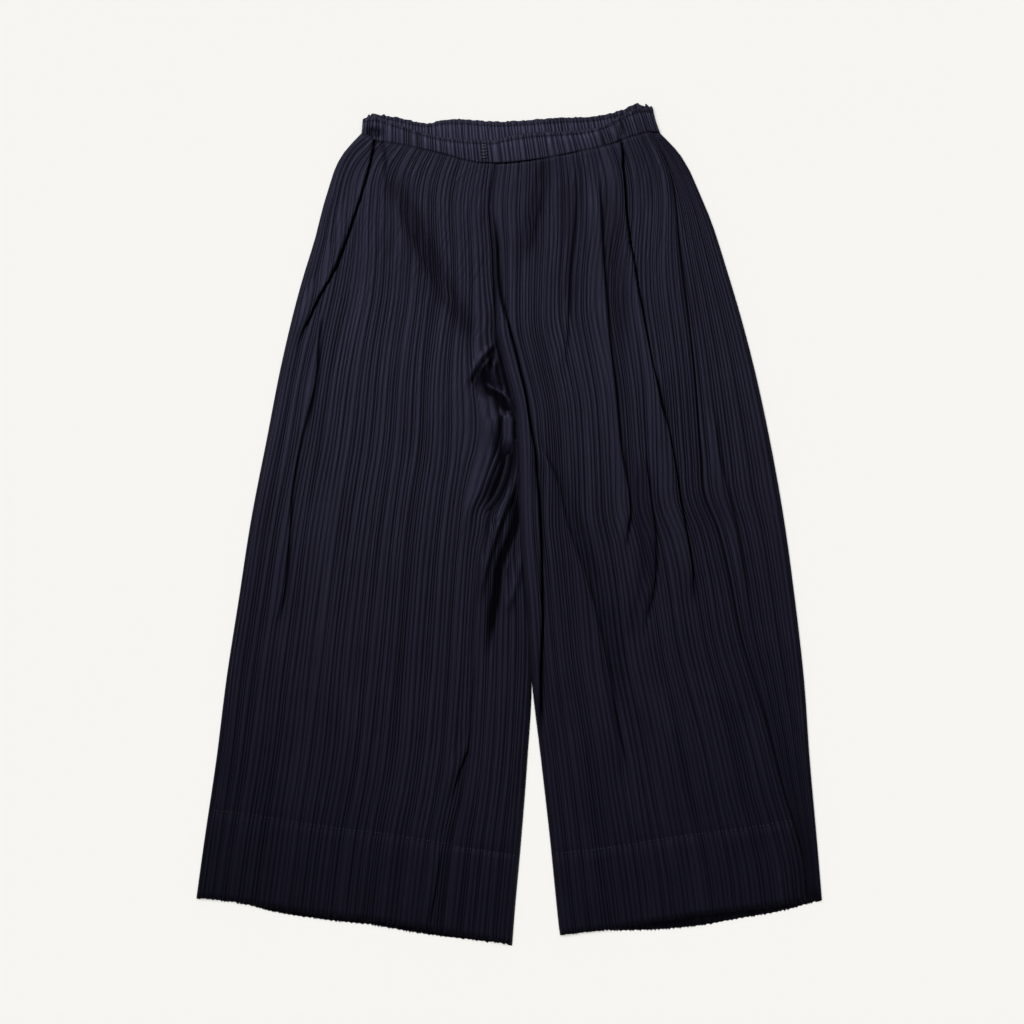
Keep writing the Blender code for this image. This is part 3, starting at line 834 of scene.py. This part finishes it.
# %% Right front down to the bunch
RIGHT_PLEATS = 59
RIGHT_ROWS = rows_down(
    ((0.03, 6), (0.175, 16), (0.33, 72), (0.42, 34), (0.56, 22), (0.88, 36), (0.9, 4), (1.0, 11)))
RIGHT_HEM_STITCH = 0.887
SEAM_END = 236.0
SEAM_EASE = 26.0
BUNCH_END = 60.0
UNDER_LEFT_LEG = 2.9
TAB_LEFT, TAB_RIGHT, TAB_BOTTOM, TAB_TOP = -8.0, 5.2, 70.0, 113.5
TAB_LEVEL = 5.2

right_leg = lay_leg(
    RIGHT_SIDE, PLEAT_DRIFT, FRONT_WAIST_SEAM, RIGHT_FRONT_HEM, RIGHT_ROWS,
    RIGHT_PLEATS, 11, RIGHT_FRONT_FOLDS, RIGHT_HEM_STITCH, "left", bunch_edge=BUNCH_EDGE)
x, y, z, ridge = (right_leg[key] for key in ("x", "y", "z", "ridge"))
strip_edge = read_line(CENTRE_SEAM, y)
above = ease((y - SEAM_END) / SEAM_EASE)
covered = ease((x - strip_edge + 1.0) / 2.0) * (1.0 - above) * ease((y - 50.0) / 15.0)
ridges, hollows, painted_shade = press(BUNCH_SHAPES, x, y)
loop = press(LOOP_SHAPES, x, y)[0]
z = np.maximum(z + ridges - hollows, LOWEST_FRONT + 0.3 * ridge) + loop
tab = ease((TAB_TOP - y) / 2.2) * ease((y - TAB_BOTTOM) / 22.0)
tab = tab * ease((x - TAB_LEFT) / 1.8) * ease((TAB_RIGHT - x) / 1.6)
z = mix(z, TAB_LEVEL + 0.15 * ridge, tab)
z = mix(z, np.minimum(z, UNDER_LEFT_LEG), covered)
z = turn_down(z, SEAM_LEVEL, right_leg["left_way"], 3.5)
free_edge = turn_down(z, mix(3.3, 3.4, above), right_leg["right_way"], 2.6)
right_leg["z"] = mix(free_edge, z, ease((y - BUNCH_END) / 20.0) * (1.0 - above))
# Painted shade in the bunch's hollows, but none on the standing tab or the loop.
right_leg["painted_crease_shade"] = np.maximum(
    right_leg["painted_crease_shade"], painted_shade * (1.0 - tab) * (1.0 - np.clip(loop / 2.4, 0.0, 1.0)))
make_leg("right_front_cloth", right_leg)

# %% Right front's fan down the inner thigh
FAN_PLEATS = 16
FAN_ROWS = rows_down(((0.38, 92), (0.815, 30), (0.835, 4), (1.0, 12)))
FAN_HEM_STITCH = 0.8245

fan = lay_leg(
    FAN_START, FAN_INSEAM, ((-40.0, 89.0), (60.0, 89.0)), RIGHT_FRONT_HEM, FAN_ROWS,
    FAN_PLEATS, 13, {}, FAN_HEM_STITCH, "none", 0.05)
x, y, z, ridge = (fan[key] for key in ("x", "y", "z", "ridge"))
covered = ease((x - read_line(CENTRE_SEAM, y) + 1.0) / 2.0) * ease((y + 163.0) / 30.0)
ridges, hollows, painted_shade = press(FAN_SHAPES, x, y)
z = np.maximum(z + ridges - hollows, LOWEST_FRONT + 0.3 * ridge)
z = mix(np.minimum(z, 2.6), z, ease((fan["left_way"] - 5.5) / 4.0))
z = mix(z, np.minimum(z, UNDER_LEFT_LEG), covered)
fan["z"] = mix(
    turn_down(z, SEAM_LEVEL, fan["right_way"], 3.5), z, ease((y + 160.0) / 30.0))
# Painted shadow where the fan runs under the bunch's fold, with painted shade in the fan's hollows.
shadow_under_bunch = np.exp(-((fan["left_way"] - 6.0) / 4.5) ** 2) * ease((y + 40.0) / 50.0)
fan["painted_crease_shade"] = np.maximum(fan["painted_crease_shade"], np.maximum(painted_shade, shadow_under_bunch))
make_leg("right_front_fan_cloth", fan)

# %% Left front
LEFT_PLEATS = 58
FRONT_ROWS = rows_down(((0.03, 6), (0.235, 22), (0.52, 84), (0.88, 34), (0.9, 4), (1.0, 11)))
LEFT_HEM_STITCH = 0.896

left_leg = lay_leg(
    LEFT_INSEAM, FRONT_FOLD_LINE, FRONT_WAIST_SEAM, LEFT_FRONT_HEM, FRONT_ROWS,
    LEFT_PLEATS, 23, LEFT_FRONT_FOLDS, LEFT_HEM_STITCH, "right")
x, y, z = (left_leg[key] for key in ("x", "y", "z"))
# Troughs lower the cloth and add painted shade along it.
hollows, painted_shade = press(LEFT_TROUGHS, x, y)[1:]
left_leg["painted_crease_shade"] = np.maximum(left_leg["painted_crease_shade"], painted_shade)
over_right = ease((250.0 - y) / 26.0) * ease((y + 170.0) / 40.0)
above = ease((y - SEAM_END) / SEAM_EASE)
z = np.maximum(z - hollows, LOWEST_FRONT + 0.3 * left_leg["ridge"])
z = z + 1.6 * over_right * ease((17.0 - left_leg["left_way"]) / 6.0)
z = turn_down(z, 3.6, left_leg["right_way"], 3.5)
seam_level = mix(mix(SEAM_LEVEL, 3.4, above), 3.5, over_right)
left_leg["z"] = turn_down(z, seam_level, left_leg["left_way"], mix(3.5, 5.0, over_right))
make_leg("left_front_cloth", left_leg)

# %% [markdown]
# ## Back of the right leg
# The back lies on the surface, so its pleats are pressed flatter. It shows
# below the front hem as a dark serrated edge. It could be a plain sheet, but
# the part is seen from every side, so it is pleated too, on a wider grid.

# %% Right back
BACK_HEIGHT = 1.0
BACK_ROWS = rows_down(((0.05, 4), (0.9, 40), (1.0, 8)))
BACK_PLEATS = 72
BACK_GATHER_SHARE = 0.16
BACK_SEAM_TOP = (395.0, -14.5)


def back_relief(numbers, phases, y, down, seed):
    """Height of the pleats of a back, which close up towards the waist."""
    gathered = 1.0 - ease(down / BACK_GATHER_SHARE)
    return pleat_relief(numbers[None, :], phases[None, :], y, seed, gathered)[0]


places, numbers, phases = pleat_columns(BACK_PLEATS, 31, 0.014)
across = places[None, :]
down = BACK_ROWS[:, None]
x, y = lay_between(
    RIGHT_SIDE, (BACK_SEAM_TOP,) + RIGHT_INSEAM[1:],
    BACK_WAIST_SEAM, RIGHT_BACK_HEM, across, down)
width = x[:, -1:] - x[:, :1]
height = back_relief(numbers, phases, y, down, 31)
near_edge = np.minimum(across, 1.0 - across) * width
z = 0.6 + BACK_HEIGHT * height + 0.25 * ease((down - RIGHT_HEM_STITCH) / 0.004)
z = turn_down(np.maximum(z, 0.5), 1.5, near_edge, 2.5)
wander = soft_noise(numbers[None, :] / 2.6, y, 1.0, 75.0, 36) * 0.5 * width / BACK_PLEATS
x = x + wander * ease(near_edge / CALM_EDGE)
y = y + 1.8 * (height - 0.5) * ease((down - 0.95) / 0.05)
right_back = grid_cloth(
    "right_back_cloth", x, y, z, height, np.zeros_like(x), under_cloth, phases)

# %% [markdown]
# ## Rolled back of the left leg
# This leg has turned a little on the surface, so its back comes round the
# outer side and shows as a long strip beside the front. The strip, the roll
# and the layer underneath are one cloth, so they are one grid: across the
# strip to the outer side, down round the roll, and back under to the inseam.
# Two sheets could meet at the outer side, but the real one has no seam there.

# %% Left back with its side strip
STRIP_PLEATS = 17
UNDER_PLEATS = 62
ROLL_RADIUS = 2.0
STRIP_LEVEL = 3.2
STRIP_TUCK = 7.0

strip_places, strip_numbers, strip_phases = pleat_columns(STRIP_PLEATS, 41, 0.02)
under_places, under_numbers, under_phases = pleat_columns(UNDER_PLEATS, 43, 0.014)
roll_steps = np.linspace(0.0, 1.0, 9)[1:-1][None, :]
down = FRONT_ROWS[::2][:, None]
tucked_line = tuple((y, x - STRIP_TUCK) for y, x in FRONT_FOLD_LINE)
tucked_line = tucked_line[:-1] + ((-400.0, tucked_line[-1][1]),)
outer_line = tuple((y, x - ROLL_RADIUS) for y, x in LEFT_SIDE)
strip_hem = ((tucked_line[-1][1], -400.0), (outer_line[-1][1], -402.0))

strip_x, strip_y = lay_between(
    tucked_line, outer_line, FRONT_WAIST_SEAM, strip_hem, strip_places[None, :], down)
strip_ridge = back_relief(strip_numbers, strip_phases, strip_y, down, 41)
strip_rise, strip_shift, strip_crease_shade = lay_folds(STRIP_FOLDS, strip_x, strip_y)
strip_width = strip_x[:, -1:] - strip_x[:, :1]
inside = ease(strip_places[None, :] * strip_width / 14.0)
strip_z = STRIP_LEVEL + mix(0.35, 1.1, inside) * strip_ridge + strip_rise + 0.3 * inside
strip_z = turn_down(strip_z, 2 * ROLL_RADIUS, (1.0 - strip_places[None, :]) * strip_width, 3.0)

under_x, under_y = lay_between(
    outer_line, (BACK_SEAM_TOP,) + LEFT_INSEAM[1:],
    BACK_WAIST_SEAM, LEFT_BACK_HEM, under_places[None, :], down)
under_ridge = back_relief(under_numbers, under_phases, under_y, down, 43)
under_z = 0.1 + BACK_HEIGHT * (1.0 - np.clip(under_ridge, 0.0, 1.0))
under_width = under_x[:, :1] - under_x[:, -1:]
under_z = turn_down(under_z, 0.0, under_places[None, :] * under_width, 2.5)
under_z = turn_down(under_z, 1.5, (1.0 - under_places[None, :]) * under_width, 2.5)

roll_x = strip_x[:, -1:] + ROLL_RADIUS * np.sin(np.pi * roll_steps)
roll_y = mix(strip_y[:, -1:], under_y[:, :1], roll_steps)
roll_z = ROLL_RADIUS * (1.0 + np.cos(np.pi * roll_steps)) + 0.0 * roll_x
whole_x = np.hstack([strip_x + strip_shift * inside, roll_x, under_x])
whole_y = np.hstack([strip_y, roll_y, under_y])
whole_z = np.hstack([strip_z, roll_z, under_z])
whole_ridge = np.hstack([strip_ridge, np.full_like(roll_x, 0.6), under_ridge])
# Painted crease shade only along the strip's fold; none on the roll or underneath.
whole_crease_shade = np.hstack([strip_crease_shade, np.zeros_like(roll_x), np.zeros_like(under_x)])
whole_y = whole_y + SERRATION * (whole_ridge - 0.5) * ease((down - 0.95) / 0.05)
roll_phases = np.full(roll_steps.shape[1], 0.3)
left_back = grid_cloth(
    "left_back_cloth", whole_x, whole_y, whole_z, whole_ridge, whole_crease_shade, leg_cloth,
    np.concatenate([strip_phases, roll_phases, under_phases]))

# %% [markdown]
# ## Elastic waistband
# The waist is a casing with elastic inside and a small ruffled heading over
# it. The pleats of the legs run on through the casing, so its gathers start
# from the same valleys. The casing is a flat tube: one grid runs up its inner
# face, over the heading and down the outer face to the seam. A curve with a
# bevel would make a tube too, but without gathers or a ruffle. In the section
# below, a row is (share of the way up, share of the casing's depth).

# %% Waistband helpers
CASING_SECTION = (
    (0.0, 0.1), (0.1, 0.0), (0.5, 0.0), (0.8, 0.1), (0.98, 0.12), (1.0, 0.3),
    (0.98, 0.52), (0.94, 0.62), (0.9, 0.64), (0.86, 0.6), (0.82, 0.5),
    (0.78, 0.62), (0.72, 0.84), (0.62, 1.0), (0.45, 1.06), (0.25, 1.0),
    (0.12, 0.94), (0.06, 0.9), (0.02, 0.84), (0.0, 0.74))
HEADING_STITCH = 0.82
RUFFLED_END = 26.0
BAND_THICKNESS = 0.3


def gather_columns(valleys):
    """Place, gather number and phase of each column between a row of valleys."""
    places = [
        mix(start, end, phase)
        for start, end in zip(valleys[:-1], valleys[1:]) for phase in PLEAT_PHASES]
    count = len(valleys) - 1
    numbers = np.append(np.repeat(np.arange(count), len(PLEAT_PHASES)), count - 1)
    return np.array([*places, valleys[-1]]), numbers, np.array(PLEAT_PHASES * count + (0.99,))


def to_nearer_end(x):
    """Distance of each point from the nearer end of its row."""
    return np.minimum(x - x[:, :1], x[:, -1:] - x)


def casing(name, top, seam, top_ends, valleys, seed, level, wall, ruffle, gather, puckers):
    """Gathered casing between its top line and its waist seam."""
    places, numbers, phases = gather_columns(valleys)
    up, lift = (np.array(CASING_SECTION)[:, column][:, None] for column in (0, 1))
    share = (places - places[0]) / (places[-1] - places[0])
    x = mix(places, mix(top_ends[0], top_ends[1], share), up)
    y = mix(read_line(seam, places)[None, :], read_line(top, x), up)
    height, lean = pleat_relief(numbers[None, :], phases[None, :], y, seed, 0.0)
    outer = ease((lift - 0.2) / 0.2)
    z = level + wall * lift + gather * (height - 0.5) * outer

    at_ends = np.exp(-(to_nearer_end(x) / RUFFLED_END) ** 2)
    frill = ease((up - 0.8) / 0.2) * ruffle * (0.5 + 1.3 * at_ends)
    wave = np.sin(np.pi * (numbers + phases) + 2.0 * soft_noise(x, y, 9.0, 30.0, seed + 6))
    z = z + frill * (0.9 * wave + 0.6 * soft_noise(x, up, 2.7, 0.4, seed + 9))
    y = y + frill * 0.9 * soft_noise(x, up, 2.4, 9.0, seed + 7)
    x = x + 0.35 * lean + frill * 0.6 * soft_noise(x, up, 3.0, 9.0, seed + 8)
    ridges, hollows, painted_shade = press(puckers, x, y)
    z = np.maximum(z + (ridges - hollows) * outer, level)
    z = turn_down(z, level + wall * 0.3, to_nearer_end(x), 3.0)
    # Painted shade along the heading stitch and in the waist seam, with the painted shade of the
    # puckers' hollows, on the outer face only.
    stitch_line_shade = 0.6 * np.exp(-((up - HEADING_STITCH) / 0.02) ** 2)
    stitch_line_shade = stitch_line_shade + 0.2 * np.exp(-(up / 0.015) ** 2)
    painted_crease_shade = np.maximum(painted_shade, stitch_line_shade) * outer
    piece = grid_cloth(name, x, y, z, height, painted_crease_shade, band_cloth, phases, BAND_THICKNESS)
    return {"piece": piece, "x": x, "y": y, "z": z, "phases": phases}


# %% Front and back casing
BACK_GATHERS = 88
BAND_LEFT, BAND_RIGHT = -155.0, 158.0
LAST_GATHERS = (151.5, 154.5, BAND_RIGHT)
NARROWEST_GATHER = 1.2
FRONT_BAND_PUCKERS = (
    (-1.9, 8, ((417, -141), (411, -141.5), (403.5, -142))),
    (-0.9, 4.5, ((428, 106), (414, 108), (396, 109))),
    (-0.7, 3, ((418, 98), (404, 99), (390, 100))),
    (-0.9, 4, ((434, 118), (416, 119), (400, 119))),
    (1.4, 4, ((430, 112.5), (414, 113), (398, 113))),
)


def waist_valleys(leg):
    """Places of the valleys of a leg that reach the waist seam."""
    open_valleys = (leg["phases"] == 0.0) & (leg["numbers"] % VALLEY_CYCLE != CLOSING_VALLEY)
    return leg["x"][0][open_valleys]


valleys = np.concatenate([waist_valleys(right_leg), waist_valleys(left_leg)])
valleys = np.sort(np.concatenate([valleys, [BAND_LEFT, *LAST_GATHERS]]))
valleys = valleys[np.insert(np.diff(valleys) > NARROWEST_GATHER, 0, True)]
waistband_front = casing(
    "waistband_front_cloth", FRONT_BAND_TOP, FRONT_WAIST_SEAM, (-153.5, 149.5), valleys,
    59, 4.2, 2.4, 1.0, 1.1, FRONT_BAND_PUCKERS)
spread = np.random.default_rng(5).uniform(-0.9, 0.9, BACK_GATHERS + 1)
back_valleys = np.linspace(BAND_LEFT, BAND_RIGHT, BACK_GATHERS + 1) + spread
back_valleys[0], back_valleys[-1] = BAND_LEFT, BAND_RIGHT
waistband_back = casing(
    "waistband_back_cloth", BACK_BAND_TOP, BACK_WAIST_SEAM, (-154.0, 150.0), back_valleys,
    53, 0.35, 2.3, 1.2, 0.9, ())
print("gathers", len(valleys) - 1, "front,", BACK_GATHERS, "back")

# %% [markdown]
# ## Stitches
# A turned-up hem is held by one row of stitches, which shows as a small light
# dash on the crest of each pleat. A row could be one long curve, but only the
# crests show it, so each stitch is a tiny stretched ball. All the stitches of
# a row are one mesh.

# %% Stitch helpers
THREAD_SHADE = (0.02, 0.018, 0.03, 1.0)
THREAD_COLOUR = (0.045, 0.042, 0.062, 1.0)
thread = speckled("polyester_thread", 900.0, 2.0, THREAD_SHADE, THREAD_COLOUR, 0.5, 0.5)


def stitch_row(name, centres, size):
    """One mesh of small thread beads at the given places."""
    bm = bmesh.new()
    for centre in centres:
        verts = bmesh.ops.create_icosphere(bm, subdivisions=1, radius=0.5)["verts"]
        bmesh.ops.scale(bm, verts=verts, vec=[value * MM for value in size])
        bmesh.ops.translate(bm, verts=verts, vec=[value * MM for value in centre])
    mesh = bpy.data.meshes.new(name)
    bm.to_mesh(mesh)
    bm.free()
    mesh.materials.append(thread)
    mesh.shade_smooth()
    piece = put_in_scene(name, mesh)
    print(name, len(centres), "stitches")
    return piece


def crest_places(panel, row, lift):
    """Places just over the crests of a row of the grid."""
    crests = np.flatnonzero(panel["phases"] == 0.5)
    return [
        (panel["x"][row, column], panel["y"][row, column], panel["z"][row, column] + lift)
        for column in crests]


def casing_height(band, x, y):
    """Height of the casing's nearest point on its outer face, the later half of its rows."""
    outer = slice(len(CASING_SECTION) // 2, None)
    away = np.hypot(band["x"][outer] - x, band["y"][outer] - y)
    return float(band["z"][outer].ravel()[np.argmin(away)])


# %% Rows of stitches
STITCH = (2.4, 0.9, 0.55)
SEAM_STITCH = (1.8, 0.55, 0.45)
stitches = []
for name, leg, share in (
        ("right_hem_stitches", right_leg, RIGHT_HEM_STITCH),
        ("fan_hem_stitches", fan, FAN_HEM_STITCH),
        ("left_hem_stitches", left_leg, LEFT_HEM_STITCH)):
    row = int(np.argmin(np.abs(leg["rows"] - share)))
    stitches.append(stitch_row(name, crest_places(leg, row, 0.05), STITCH))
seam_row = len(CASING_SECTION) - 4
stitches.append(stitch_row(
    "waist_seam_stitches", crest_places(waistband_front, seam_row, 0.0), SEAM_STITCH))

TACK_X = -26.2
TACK_BARS = (400.575, 397.215, 393.855, 390.495, 387.135, 383.775)
TACK_BAR = (8.6, 1.4, 0.8)
tack = [(TACK_X, y, casing_height(waistband_front, TACK_X, y) + 0.7) for y in TACK_BARS]
stitches.append(stitch_row("front_bar_tack", tack, TACK_BAR))

KNOT_X, KNOT_Y = -33.8, 380.0
KNOT = (2.2, 1.9, 1.6)
knot = (KNOT_X, KNOT_Y, casing_height(waistband_front, KNOT_X, KNOT_Y + 1.0) + 0.3)
stitches.append(stitch_row("thread_knot", [knot], KNOT))

# %% [markdown]
# ## Each piece on the body
# Every piece rides on the one body. Every piece of cloth also stands for the
# solid it covers, which is hidden. The table also lists a record slot, the
# flat size and area of the cut and what each piece lies on, but nothing here
# reads them.

# %% Ride on the body and hide the solid
PIECES = (
    (right_leg["piece"], "right_front", "leg_front", (0.28, 0.85), 0.175, ["right_back_cloth"]),
    (fan["piece"], "right_front", "leg_front", (0.085, 0.54), 0.034, ["right_back_cloth"]),
    (left_leg["piece"], "left_front", "leg_front", (0.285, 0.84), 0.190, ["left_back_cloth"]),
    (right_back, "right_back", "leg_back", (0.345, 0.85), 0.215, ["pale_surface"]),
    (left_back, "left_back", "leg_back", (0.400, 0.86), 0.290, ["pale_surface"]),
    (waistband_front["piece"], "waistband_front", "waistband", (0.34, 0.056), None,
     ["waistband_back_cloth"]),
    (waistband_back["piece"], "waistband_back", "waistband", (0.34, 0.060), None,
     ["pale_surface"]),
)
for piece, node, slot, flat, area, below in PIECES:
    cloth_group.objects.link(piece)
    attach(piece, "root")
    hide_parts(node)
for piece in stitches:
    cloth_group.objects.link(piece)
    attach(piece, "root")
print("pieces", len(PIECES) + len(stitches))
